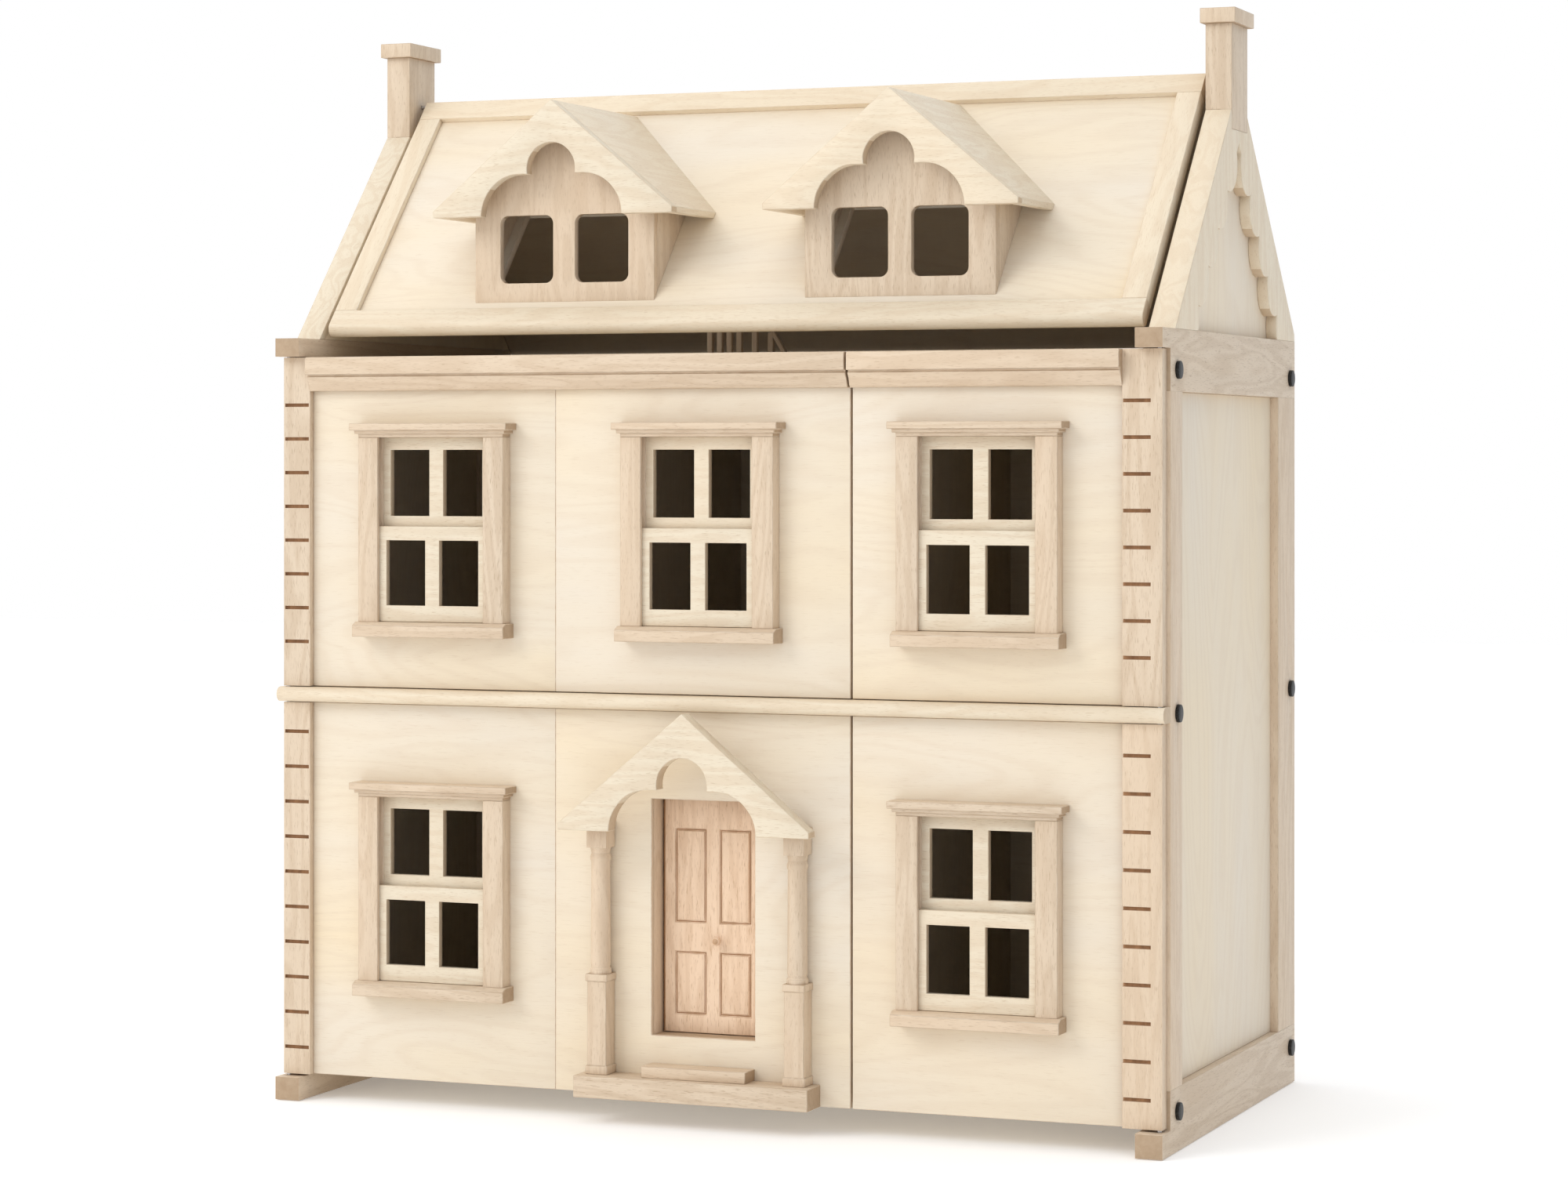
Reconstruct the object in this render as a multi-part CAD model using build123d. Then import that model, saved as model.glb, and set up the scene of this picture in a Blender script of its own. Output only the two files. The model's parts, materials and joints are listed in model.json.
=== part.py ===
from build123d import *
import os
from math import cos, radians, sin, tan

# Wooden three-storey doll's house, in millimetres.  +Z is up, the front faces -Y and X = 0 is
# halfway between the end walls.  Depths below are first measured rearwards from the front of
# the feet; the helper functions then move them so that Y = 0 is mid-depth.

# ---- Driving dimensions -------------------------------------------------------------------
HALF_WIDTH = 330.0            # outer face of an end wall
WALL = 19.0                   # end wall thickness
DEPTH = 350.0                 # front of the feet to the back
PORCH_FRONT = -25.0           # front of the porch gable board
INNER = HALF_WIDTH - WALL

STILE_FRONT = 18.7            # front edge of the end wall stiles
FRONT_STILE_W = 28.3
REAR_STILE_W = 48.0
FOOT_H = 16.3
BOTTOM_RAIL_TOP = 42.6
TOP_RAIL_BOTTOM = 504.6
EAVES = 546.3                 # top of the end wall rails
EAVES_BLOCK_BOTTOM = 533.2
PANEL_RECESS = 6.0
PANEL_T = 6.0

PITCH = 48.0                  # main roof slope, degrees
RAKE_Y, RAKE_Z = 35.5, 551.0  # a point on the front rake line
MID_RIDGE = 193.0
CHIMNEY_FRONT, CHIMNEY_BACK = 173.0, 215.0
CHIMNEY_FOOT = 690.0          # lower end of the outer face, where the rake boards meet
CHIMNEY_TOP = 764.0
CAP_H = 10.5
CAP_OUT, CAP_IN = 3.5, 3.0
CAP_FRONT, CAP_BACK = 169.0, 220.0
RAKE_BOARD_T = 8.0
RAKE_CAP_H = 9.0              # height of the part of a rake board that caps the gable panel
SCALLOPS, SCALLOP_PITCH = 6, 37.0
SCALLOP_TIP, SCALLOP_CUSP = 42.0, 30.0

BOARD_T = 10.5                # floor boards
GROUND_Z, FIRST_Z, ATTIC_Z = 21.5, 285.6, 513.7
BELT_FRONT = 1.5
BACK_T = 5.0
BACK_BOTTOM = 18.0
PARTITION_T = 8.0
PARTITION_X = (-114.0, 107.0)
DOORWAY_W, DOORWAY_H = 70.0, 165.0
DOORWAY_Y = 55.0

DOOR_PLY_FRONT, DOOR_BACK = 13.2, 17.8
QUOIN_FRONT = 8.1
DOOR_EDGE = 327.5             # outer edge of the front doors
DOOR_SPLIT = 107.05           # where the wide and the narrow doors meet
DOOR_GAP = 1.5
PANEL_SEAM = -114.5
QUOIN_INNER_LEFT, QUOIN_INNER_RIGHT = -306.3, 300.0
LOWER_DOOR_Z = (17.9, 285.0)
UPPER_DOOR_Z = (296.7, 532.6)
CORNICE_BOTTOM = 508.2
CORNICE_PROFILE = ((8.0, 0.0), (6.5, 2.0), (5.0, 6.2), (2.5, 10.2), (3.5, 10.4), (3.5, 11.8),
                   (0.0, 11.8), (0.0, 22.4), (1.0, 24.4))   # depth, height above the bottom
GROOVE_H, GROOVE_D = 2.5, 2.0
RIGHT_GROOVE_W = 19.5         # the right-hand grooves stop short of the outer edge
UPPER_GROOVES = (498.4, 24.25, 8)      # first height, pitch, count
LOWER_GROOVES = (264.0, 25.2, 10)

WINDOW_X = (-206.5, -2.5, 200.5)
STOREY_STEP = 255.3           # height from a lower window to the one above it
SILL_BOTTOM, SILL_TOP = 333.5, 344.0
SILL_HALF, SILL_FRONT, SILL_CHAMFER = 59.5, -4.5, 2.5
HEAD_BOTTOM = 475.0
HEAD_TIERS = ((57.0, 0.5, 0.0, 2.5), (59.0, -2.0, 2.5, 5.0), (61.7, -5.0, 5.0, 10.0))
                              # half width, front, bottom and top of each tier of a head
CASING_HALF, LIGHT_HALF = 57.0, 41.5
CASING_FRONT = 0.5
TRACK_D = 3.3                 # depth of the sash tracks in the jambs
LOWER_TRACK = (3.7, 9.7)
UPPER_TRACK = (10.5, 16.3)
LINER_HALF, LINER_LAP = 50.0, 6.0
SASH_GAP = 0.3
PANE_HALF = 36.2              # centre to the outer edge of a pane
MUNTIN = 11.0
LOWER_SASH_Z = (344.3, 411.9)
UPPER_SASH_Z = (404.0, 475.0)
LOWER_PANE_Z = (355.7, 402.0)
UPPER_PANE_Z = (419.2, 466.2)

PIN_R = 1.5
BORE_R = 1.58
PIN_INSET = 2.75              # pivot pin axis from the outer and front faces of a quoin
DOOR_PIN_X = DOOR_EDGE - PIN_INSET
DOOR_PIN_Y = QUOIN_FRONT + PIN_INSET
PIN_GRIP = 12.0               # depth of a bore in a moving piece
PIN_SEAT = 8.0                # depth of a pin in the foot or the eaves block
PIN_END_GAP = 0.5

PORCH_X = -2.5
ENTRY_HALF = 38.75
ENTRY_Z = (60.0, 224.0)
LINING_T = 3.8
LINING_BACK = 38.5
LEAF_Y = (31.5, 37.5)
LEAF_GAP = 0.5
LEAF_PANEL_X = (5.0, 28.6)
LEAF_PANEL_Z = ((137.0, 202.5), (73.0, 117.0))
LEAF_GROOVE_W, LEAF_GROOVE_D = 1.6, 1.2
LEAF_PIN_R = 1.0
LEAF_BORE_R = 1.06
LEAF_PIN_GRIP = 7.0
KNOB_X, KNOB_Z = PORCH_X + 4.5, 125.5
KNOB_R, KNOB_STEM_R, KNOB_STAND = 3.0, 1.3, 5.0   # ball, stem, face to the ball's centre
PLINTH = (87.0, -12.0, 33.0)           # half width, front, top
STEP = (38.7, -5.0, 41.0)
COLUMN_OFFSET = 73.5
PEDESTAL = 16.5
PEDESTAL_FRONT = -3.4
PEDESTAL_TOP = 102.5
PEDESTAL_STEP, PEDESTAL_BASE_H, PEDESTAL_CAP_H = 1.0, 6.0, 5.0
CAPITAL_HALF = 7.5
CAPITAL_BOTTOM, COLUMN_TOP = 190.0, 204.0
COLUMN_FOOT = ((7.5, 0.0), (7.5, 3.0), (6.5, 4.5), (7.0, 7.0))        # radius, height above
COLUMN_HEAD = ((6.6, -10.0), (7.3, -8.5), (7.3, -6.5), (6.4, -4.0), (7.3, 0.0))    # the ends
BRACKET_W, BRACKET_TOP = 16.0, 208.5
GABLE_HALF, GABLE_RISE, GABLE_TIP = 93.0, 82.0, 4.5
PORCH_BOARD_Y = (PORCH_FRONT, -13.0)
ARCH_HALF, ARCH_CORNER, LOBE_R, LOBE_RISE = 54.5, 29.5, 18.7, 33.0

HINGE_Y, HINGE_Z = 193.8, 727.6        # axis of the opening roof panel
HINGE_CORNER_R = 3.5
ROOF_TOP_END = 197.3
FRAME_OUT, FRAME_IN = 4.0, -8.0        # frame faces either side of the rake plane
ROOF_HALF = 306.0
ROOF_STILE_W = 17.5
TOP_RAIL_W = 15.0
BOTTOM_RAIL_START = 216.5              # down the slope from the ridge line
ROOF_LENGTH = 229.5                    # ridge line to the centre of the bottom nosing
FIELD_T = 6.0
REAR_ROOF_T = 10.0
REAR_ROOF_FRONT = 197.9                # upright front edge of the rear roof
ROOF_OVERRUN = 20.0                    # length past the ridge line before the top rail is cut off

DORMER_X = (-127.0, 127.0)
DORMER_HALF = 70.0
CHEEK_T = 6.0
DORMER_WALL_Y = (54.0, 60.0)
DORMER_BOARD_Y = (31.5, 40.5)
DORMER_BASE = 632.0
DORMER_SLAB_T = 8.0
DORMER_WINDOW_Z = (585.3, 633.6)
DORMER_WINDOW_W, DORMER_WINDOW_OFFSET, DORMER_WINDOW_R = 41.4, 29.3, 6.0
DORMER_WELL = (58.0, 66.0, 120.0)      # half width, front and back of the hole in the roof

STAIR_X = (98.0, -26.0)                # first riser and last riser
UPPER_STAIR_Y = (150.0, 200.0)
LOWER_STAIR_Y = (205.0, 255.0)
LOWER_RISERS, UPPER_RISERS = 12, 11
STAIR_T = 12.0
STAIR_LEDGE = 8.0
WELL_END, WELL_GAP = 70.0, 2.0
BALUSTER = 4.0
RAIL_H, RAIL_T = 58.0, 6.0
LANDING_RAIL, LANDING_POSTS = -57.0, 4

BOLT_Y = (35.5, 336.0)
BOLT_HEAD_R, BOLT_HEAD_T, BOLT_R, BOLT_LENGTH = 6.0, 2.5, 2.5, 34.0

MID_DEPTH = (PORCH_FRONT + DEPTH) / 2
SLOPE = tan(radians(PITCH))
GABLE_SLOPE = (GABLE_RISE - GABLE_TIP) / GABLE_HALF


# ---- Helpers ------------------------------------------------------------------------------
def box(x0, x1, y0, y1, z0, z1):
    centre = ((x0 + x1) / 2, (y0 + y1) / 2 - MID_DEPTH, (z0 + z1) / 2)
    return Pos(*centre) * Box(abs(x1 - x0), abs(y1 - y0), abs(z1 - z0))


def along_x(points, x0, x1):
    """Extrude a (depth, height) outline from x0 to x1."""
    corners = [Vector(x0, y - MID_DEPTH, z) for y, z in points]
    return extrude(make_face(Polyline(*corners, close=True)), amount=x1 - x0, dir=(1, 0, 0))


def along_y(points, y0, y1):
    """Extrude an (x, height) outline from depth y0 to depth y1."""
    corners = [Vector(x, y0 - MID_DEPTH, z) for x, z in points]
    return extrude(make_face(Polyline(*corners, close=True)), amount=y1 - y0, dir=(0, 1, 0))


def rod_x(radius, x0, x1, y, z):
    return Pos((x0 + x1) / 2, y - MID_DEPTH, z) * Rot(0, 90, 0) * Cylinder(radius, abs(x1 - x0))


def rod_y(radius, x, y0, y1, z):
    return Pos(x, (y0 + y1) / 2 - MID_DEPTH, z) * Rot(90, 0, 0) * Cylinder(radius, abs(y1 - y0))


def rod_z(radius, x, y, z0, z1):
    return Pos(x, y - MID_DEPTH, (z0 + z1) / 2) * Cylinder(radius, abs(z1 - z0))


def solids(shape):
    return [solid for solid in shape.solids()]


def flip(shapes):
    return [mirror(shape, Plane.YZ) for shape in shapes]


nodes = {}


def keep(name, *shapes):
    """Add the solids of these shapes to the named node."""
    for shape in shapes:
        nodes.setdefault(name, []).extend(solids(shape))


def rake_height(y):
    return RAKE_Z + SLOPE * (y - RAKE_Y)


def rear_rake_height(y):
    return rake_height(2 * MID_RIDGE - y)


# ---- End walls ----------------------------------------------------------------------------
def gable_outline():
    """Triangle of a gable with a flat seat for the chimney."""
    start = RAKE_Y - (RAKE_Z - EAVES) / SLOPE
    seat = rake_height(CHIMNEY_FRONT)
    seat_back = 2 * MID_RIDGE - CHIMNEY_FRONT
    return [(start, EAVES), (CHIMNEY_FRONT, seat), (seat_back, seat),
            (DEPTH, rear_rake_height(DEPTH)), (DEPTH, EAVES)]


def gable_slice():
    return along_x(gable_outline(), INNER, HALF_WIDTH - RAKE_BOARD_T)


def rake_cap():
    """The top of a gable, over the edge of the gable panel."""
    return gable_slice() - Pos(0, 0, -RAKE_CAP_H) * gable_slice()


def scalloped_boards():
    """Two rake boards that cap the wall, their inner edges a row of convex lobes."""
    x0, x1 = HALF_WIDTH - RAKE_BOARD_T, HALF_WIDTH
    slope = radians(PITCH)
    apex = rake_height(MID_RIDGE)
    inner_apex = apex - SCALLOP_CUSP / cos(slope)
    half_base = (inner_apex - EAVES) / SLOPE
    field = along_x([(MID_RIDGE - half_base, EAVES), (MID_RIDGE, inner_apex),
                     (MID_RIDGE + half_base, EAVES)], x0, x1)
    rise = SCALLOP_TIP - SCALLOP_CUSP
    radius = (SCALLOP_PITCH ** 2 / 4 + rise ** 2) / (2 * rise)
    lobe_apex = apex - (SCALLOP_TIP - radius) / cos(slope)
    for index in range(SCALLOPS):
        run = (1 + index) * SCALLOP_PITCH
        for side in (-1, 1):
            y = MID_RIDGE + side * run * cos(slope)
            field -= rod_x(radius, x0, x1, y, lobe_apex - run * sin(slope))
    boards = along_x(gable_outline(), x0, x1) - field
    boards -= box(x0 - 1, x1 + 1, CHIMNEY_FRONT, CHIMNEY_BACK, CHIMNEY_FOOT, CHIMNEY_TOP)
    boards += rake_cap()
    front = boards & box(INNER - 1, x1 + 1, 0, MID_RIDGE, EAVES - 1, CHIMNEY_TOP)
    rear = boards & box(INNER - 1, x1 + 1, MID_RIDGE, DEPTH + 1, EAVES - 1, CHIMNEY_TOP)
    return front, rear


def chimney():
    seat = rake_height(CHIMNEY_FRONT)
    face = HALF_WIDTH - RAKE_BOARD_T
    stack = box(INNER, HALF_WIDTH, CHIMNEY_FRONT, CHIMNEY_BACK, seat, CHIMNEY_TOP)
    stack += box(face, HALF_WIDTH, CHIMNEY_FRONT, CHIMNEY_BACK, CHIMNEY_FOOT, seat)
    stack -= rod_x(PIN_R, INNER, INNER + PIN_GRIP, HINGE_Y, HINGE_Z)
    cap = box(INNER - CAP_IN, HALF_WIDTH + CAP_OUT, CAP_FRONT, CAP_BACK, CHIMNEY_TOP,
              CHIMNEY_TOP + CAP_H)
    return stack, cap


def end_wall():
    """Pieces of the right end wall, by name."""
    rear_y = DEPTH - REAR_STILE_W
    front_y = STILE_FRONT + FRONT_STILE_W
    bottom = along_x([(0, 0), (DEPTH, 0), (DEPTH, BOTTOM_RAIL_TOP), (STILE_FRONT, BOTTOM_RAIL_TOP),
                      (STILE_FRONT, FOOT_H), (0, FOOT_H)], INNER, HALF_WIDTH)
    top = along_x([(STILE_FRONT, TOP_RAIL_BOTTOM), (DEPTH, TOP_RAIL_BOTTOM), (DEPTH, EAVES),
                   (0, EAVES), (0, EAVES_BLOCK_BOTTOM), (STILE_FRONT, EAVES_BLOCK_BOTTOM)],
                  INNER, HALF_WIDTH)
    stiles = [box(INNER, HALF_WIDTH, y0, y1, BOTTOM_RAIL_TOP, TOP_RAIL_BOTTOM)
              for y0, y1 in ((STILE_FRONT, front_y), (rear_y, DEPTH))]
    bottom -= rod_z(PIN_R, DOOR_PIN_X, DOOR_PIN_Y, FOOT_H - PIN_SEAT, FOOT_H)
    top -= rod_z(PIN_R, DOOR_PIN_X, DOOR_PIN_Y, EAVES_BLOCK_BOTTOM,
                 EAVES_BLOCK_BOTTOM + PIN_SEAT)
    front_stile, rear_stile = stiles
    heights = [z + BOARD_T / 2 for z in (GROUND_Z, FIRST_Z, ATTIC_Z)]
    ground, first, attic = heights
    for y in BOLT_Y:
        bottom -= bolt_hole(y, ground)
        top -= bolt_hole(y, attic)
    front_stile -= bolt_hole(BOLT_Y[0], first)
    rear_stile -= bolt_hole(BOLT_Y[1], first)
    outer = HALF_WIDTH - PANEL_RECESS
    panel = box(outer - PANEL_T, outer, front_y, rear_y, BOTTOM_RAIL_TOP, TOP_RAIL_BOTTOM)
    gable = gable_slice() - rake_cap()
    return {"wall_frame": [bottom, top, front_stile, rear_stile], "wall_panel": [panel],
            "gable_panel": [gable], "rake_boards": scalloped_boards(), "chimney": chimney()}


def bolt_hole(y, z):
    return rod_x(BOLT_R, INNER - 1, HALF_WIDTH, y, z)


def bolts():
    made = []
    for y in BOLT_Y:
        for z in (GROUND_Z, FIRST_Z, ATTIC_Z):
            height = z + BOARD_T / 2
            shank = rod_x(BOLT_R, HALF_WIDTH - BOLT_LENGTH, HALF_WIDTH, y, height)
            head = rod_x(BOLT_HEAD_R, HALF_WIDTH, HALF_WIDTH + BOLT_HEAD_T, y, height)
            made.append(shank + head)
    return made


for part_name, pieces in end_wall().items():
    keep("right_" + part_name, *pieces)
    keep("left_" + part_name, *flip(pieces))
keep("wall_bolts", *bolts(), *flip(bolts()))


# ---- Floors, back and partitions ----------------------------------------------------------
def drilled(board, z):
    """Bolt holes in both ends of a floor board."""
    for y in BOLT_Y:
        for side in (-1, 1):
            near, far = side * (HALF_WIDTH - BOLT_LENGTH), side * INNER
            board -= rod_x(BOLT_R, near, far, y, z + BOARD_T / 2)
    return board


def floor_board(z):
    return box(-INNER, INNER, STILE_FRONT, DEPTH - BACK_T, z, z + BOARD_T)


def first_floor():
    """The board whose rounded front edge is the belt course between the doors."""
    radius = BOARD_T / 2
    nose = rod_x(radius, -HALF_WIDTH, HALF_WIDTH, BELT_FRONT + radius, FIRST_Z + radius)
    edge = box(-HALF_WIDTH, HALF_WIDTH, BELT_FRONT + radius, STILE_FRONT, FIRST_Z,
               FIRST_Z + BOARD_T)
    board = floor_board(FIRST_Z) + edge + nose
    for side in (-1, 1):
        board -= rod_z(PIN_R, side * DOOR_PIN_X, DOOR_PIN_Y, FIRST_Z - 1, FIRST_Z + BOARD_T + 1)
    return board


def stair_well(y_range, z):
    return box(STAIR_X[1], WELL_END, y_range[0] - WELL_GAP, y_range[1] + WELL_GAP,
               z - 1, z + BOARD_T + 1)


def partition(x, z0, z1):
    half = PARTITION_T / 2
    wall = box(x - half, x + half, STILE_FRONT, DEPTH - BACK_T, z0, z1)
    return wall - box(x - PARTITION_T, x + PARTITION_T, DOORWAY_Y, DOORWAY_Y + DOORWAY_W,
                      z0 - 1, z0 + DOORWAY_H)


def rear_roof():
    """Panel behind the ridge, with an upright front edge behind the opening panel's."""
    proud = FRAME_OUT / cos(radians(PITCH))
    thickness = REAR_ROOF_T / cos(radians(PITCH))
    front_top = rear_rake_height(REAR_ROOF_FRONT) + proud
    back_top = rear_rake_height(DEPTH) + proud
    return along_x([(REAR_ROOF_FRONT, front_top), (DEPTH, back_top), (DEPTH, back_top - thickness),
                    (REAR_ROOF_FRONT, front_top - thickness)], -INNER, INNER)


ground_top, first_top, attic_top = [z + BOARD_T for z in (GROUND_Z, FIRST_Z, ATTIC_Z)]
keep("ground_floor", drilled(floor_board(GROUND_Z), GROUND_Z))
keep("first_floor", drilled(first_floor(), FIRST_Z) - stair_well(LOWER_STAIR_Y, FIRST_Z))
keep("attic_floor", drilled(floor_board(ATTIC_Z), ATTIC_Z) - stair_well(UPPER_STAIR_Y, ATTIC_Z))
for x in PARTITION_X:
    keep("partitions", partition(x, ground_top, FIRST_Z), partition(x, first_top, ATTIC_Z))
keep("rear_roof_panel", rear_roof())
rear_panel_top = rear_rake_height(DEPTH) - (REAR_ROOF_T - FRAME_OUT) / cos(radians(PITCH))
keep("back_panel", box(-INNER, INNER, DEPTH - BACK_T, DEPTH, BACK_BOTTOM, rear_panel_top))


# ---- Stairs -------------------------------------------------------------------------------
def staircase(y_range, z0, z1, risers):
    """A sawtooth flight hung under the edge of the floor above."""
    x0, x1 = STAIR_X
    tread = (x1 - x0) / (risers - 1)
    rise = (z1 - z0) / risers
    outline = [(x0, z0)]
    for index in range(risers - 1):
        top = z0 + rise * (index + 1)
        outline.append((x0 + tread * index, top))
        outline.append((x0 + tread * (index + 1), top))
    outline += [(x1, z1 - BOARD_T), (x1 - STAIR_LEDGE, z1 - BOARD_T),
                (x1 - STAIR_LEDGE, z1 - rise - STAIR_T), (x1, z1 - rise - STAIR_T),
                (x0 + tread, z0)]
    return along_y(outline, *y_range)


def balustrade():
    """Level landing rail that runs on down the upper flight."""
    y0 = UPPER_STAIR_Y[0]
    x0, x1 = STAIR_X
    tread = (x1 - x0) / (UPPER_RISERS - 1)
    rise = (attic_top - first_top) / UPPER_RISERS
    rail_z = attic_top + RAIL_H
    low_z = rail_z - rise * (UPPER_RISERS - 1)
    rail = along_y([(LANDING_RAIL, rail_z), (x1, rail_z), (x0, low_z), (x0, low_z + RAIL_T),
                    (x1, rail_z + RAIL_T), (LANDING_RAIL, rail_z + RAIL_T)], y0, y0 + BALUSTER)
    for index in range(UPPER_RISERS - 1):
        x = x0 + tread * (index + 0.5)
        tread_z = first_top + rise * (index + 1)
        rail += box(x - BALUSTER / 2, x + BALUSTER / 2, y0, y0 + BALUSTER, tread_z,
                    tread_z + RAIL_H + rise / 2)
    spacing = (x1 - LANDING_RAIL - 2 * BALUSTER) / (LANDING_POSTS - 1)
    for index in range(LANDING_POSTS):
        x = LANDING_RAIL + BALUSTER / 2 + index * spacing
        rail += box(x - BALUSTER / 2, x + BALUSTER / 2, y0, y0 + BALUSTER, attic_top, rail_z)
    return rail


keep("lower_staircase", staircase(LOWER_STAIR_Y, ground_top, first_top, LOWER_RISERS))
keep("upper_staircase", staircase(UPPER_STAIR_Y, first_top, attic_top, UPPER_RISERS))
keep("stair_balustrade", balustrade())


# ---- Hinge pins ---------------------------------------------------------------------------
def hinge_pins():
    """Right-hand pins: foot, belt, eaves block and roof."""
    reach = PIN_GRIP - PIN_END_GAP
    foot = rod_z(PIN_R, DOOR_PIN_X, DOOR_PIN_Y, FOOT_H - PIN_SEAT, LOWER_DOOR_Z[0] + reach)
    belt = rod_z(PIN_R, DOOR_PIN_X, DOOR_PIN_Y, LOWER_DOOR_Z[1] - reach, UPPER_DOOR_Z[0] + reach)
    eaves = rod_z(PIN_R, DOOR_PIN_X, DOOR_PIN_Y, UPPER_DOOR_Z[1] - reach,
                  EAVES_BLOCK_BOTTOM + PIN_SEAT)
    roof = rod_x(PIN_R, ROOF_HALF - reach, INNER + PIN_GRIP, HINGE_Y, HINGE_Z)
    return [foot, belt, eaves, roof]


keep("hinge_pins", *hinge_pins(), *flip(hinge_pins()))


# ---- Front doors --------------------------------------------------------------------------
def quoin(side, inner_x, z_range, grooves):
    """Edge strip of a door with sawn grooves and a pin bore at each end."""
    z0, z1 = z_range
    outer = side * DOOR_EDGE
    strip = box(inner_x, outer, QUOIN_FRONT, DOOR_BACK, z0, z1)
    if side < 0:
        groove_start, groove_end = outer + 1, inner_x - 1
    else:
        groove_start, groove_end = inner_x, inner_x + RIGHT_GROOVE_W
    first, pitch, count = grooves
    for index in range(count):
        z = first - pitch * index
        strip -= box(groove_start, groove_end, QUOIN_FRONT, QUOIN_FRONT + GROOVE_D,
                     z - GROOVE_H / 2, z + GROOVE_H / 2)
    pin_x = side * DOOR_PIN_X
    strip -= rod_z(BORE_R, pin_x, DOOR_PIN_Y, z0, z0 + PIN_GRIP)
    return strip - rod_z(BORE_R, pin_x, DOOR_PIN_Y, z1 - PIN_GRIP, z1)


def cornice(x0, x1):
    face = [(depth, CORNICE_BOTTOM + height) for depth, height in CORNICE_PROFILE]
    return along_x([(DOOR_PLY_FRONT, CORNICE_BOTTOM), *face, (DOOR_PLY_FRONT, UPPER_DOOR_Z[1])],
                   x0, x1)


def door_panel(x0, x1, z_range, window_x, window_z):
    """Plywood panel with a window opening when window_x is given."""
    ply = box(x0, x1, DOOR_PLY_FRONT, DOOR_BACK, *z_range)
    if window_x is not None:
        ply -= box(window_x - LINER_HALF, window_x + LINER_HALF, DOOR_PLY_FRONT - 1, DOOR_BACK + 1,
                   SILL_TOP - LINER_LAP + window_z, HEAD_BOTTOM + LINER_LAP + window_z)
    return ply


def entry_opening():
    return box(PORCH_X - ENTRY_HALF, PORCH_X + ENTRY_HALF, DOOR_PLY_FRONT - 1, DOOR_BACK + 1,
               *ENTRY_Z)


left_end = DOOR_SPLIT - DOOR_GAP / 2
right_start = DOOR_SPLIT + DOOR_GAP / 2
left_bay, centre_bay, right_bay = WINDOW_X

for storey, z_range, window_z, grooves in (("upper", UPPER_DOOR_Z, 0.0, UPPER_GROOVES),
                                           ("lower", LOWER_DOOR_Z, -STOREY_STEP, LOWER_GROOVES)):
    centre_window = centre_bay if storey == "upper" else None
    left_ply = door_panel(QUOIN_INNER_LEFT, PANEL_SEAM, z_range, left_bay, window_z)
    centre_ply = door_panel(PANEL_SEAM, left_end, z_range, centre_window, window_z)
    if storey == "lower":
        centre_ply -= entry_opening()
    right_ply = door_panel(right_start, QUOIN_INNER_RIGHT, z_range, right_bay, window_z)
    keep(storey + "_left_door_panels", left_ply, centre_ply)
    keep(storey + "_right_door_panel", right_ply)
    keep(storey + "_left_quoin", quoin(-1, QUOIN_INNER_LEFT, z_range, grooves))
    keep(storey + "_right_quoin", quoin(1, QUOIN_INNER_RIGHT, z_range, grooves))

keep("upper_left_cornice", cornice(QUOIN_INNER_LEFT, left_end))
keep("upper_right_cornice", cornice(right_start, QUOIN_INNER_RIGHT))


# ---- Sash windows -------------------------------------------------------------------------
def jamb(x, side, dz):
    """Upright of a window casing with one track for each sash."""
    inner, outer = x + side * LIGHT_HALF, x + side * CASING_HALF
    z0, z1 = SILL_TOP + dz, HEAD_BOTTOM + dz
    post = box(inner, outer, CASING_FRONT, DOOR_PLY_FRONT, z0, z1)
    post += box(inner, x + side * LINER_HALF, DOOR_PLY_FRONT, DOOR_BACK, z0, z1)
    for y0, y1 in (LOWER_TRACK, UPPER_TRACK):
        post -= box(inner, inner + side * TRACK_D, y0, y1, z0, z1)
    return post


def window_head(x, dz):
    base = HEAD_BOTTOM + dz
    head = box(x - LINER_HALF, x + LINER_HALF, DOOR_PLY_FRONT, DOOR_BACK, base, base + LINER_LAP)
    for half, front, z0, z1 in HEAD_TIERS:
        head += box(x - half, x + half, front, DOOR_PLY_FRONT, base + z0, base + z1)
    return head


def window_sill(x, dz):
    z0, z1 = SILL_BOTTOM + dz, SILL_TOP + dz
    sill = along_x([(DOOR_PLY_FRONT, z0), (SILL_FRONT, z0), (SILL_FRONT, z1 - SILL_CHAMFER),
                    (CASING_FRONT, z1), (DOOR_PLY_FRONT, z1)], x - SILL_HALF, x + SILL_HALF)
    return sill + box(x - LINER_HALF, x + LINER_HALF, DOOR_PLY_FRONT, DOOR_BACK,
                      z1 - LINER_LAP, z1)


def sash(x, y_range, half, z_range, pane_z, dz):
    """Two-light sash with its edges in the jamb tracks."""
    y0, y1 = y_range
    frame = box(x - half, x + half, y0, y1, z_range[0] + dz, z_range[1] + dz)
    for side in (-1, 1):
        frame -= box(x + side * MUNTIN / 2, x + side * PANE_HALF, y0 - 1, y1 + 1,
                     pane_z[0] + dz, pane_z[1] + dz)
    return frame


def window(name, door, x, dz):
    keep(door + "_window_casings", jamb(x, -1, dz), jamb(x, 1, dz), window_head(x, dz),
         window_sill(x, dz))
    keep(door + "_top_sashes", sash(x, UPPER_TRACK, LIGHT_HALF + TRACK_D, UPPER_SASH_Z,
                                    UPPER_PANE_Z, dz))
    loose = (LOWER_TRACK[0] + SASH_GAP, LOWER_TRACK[1] - SASH_GAP)
    keep(name + "_sliding_sash", sash(x, loose, LIGHT_HALF + TRACK_D - SASH_GAP, LOWER_SASH_Z,
                                      LOWER_PANE_Z, dz))


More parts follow.
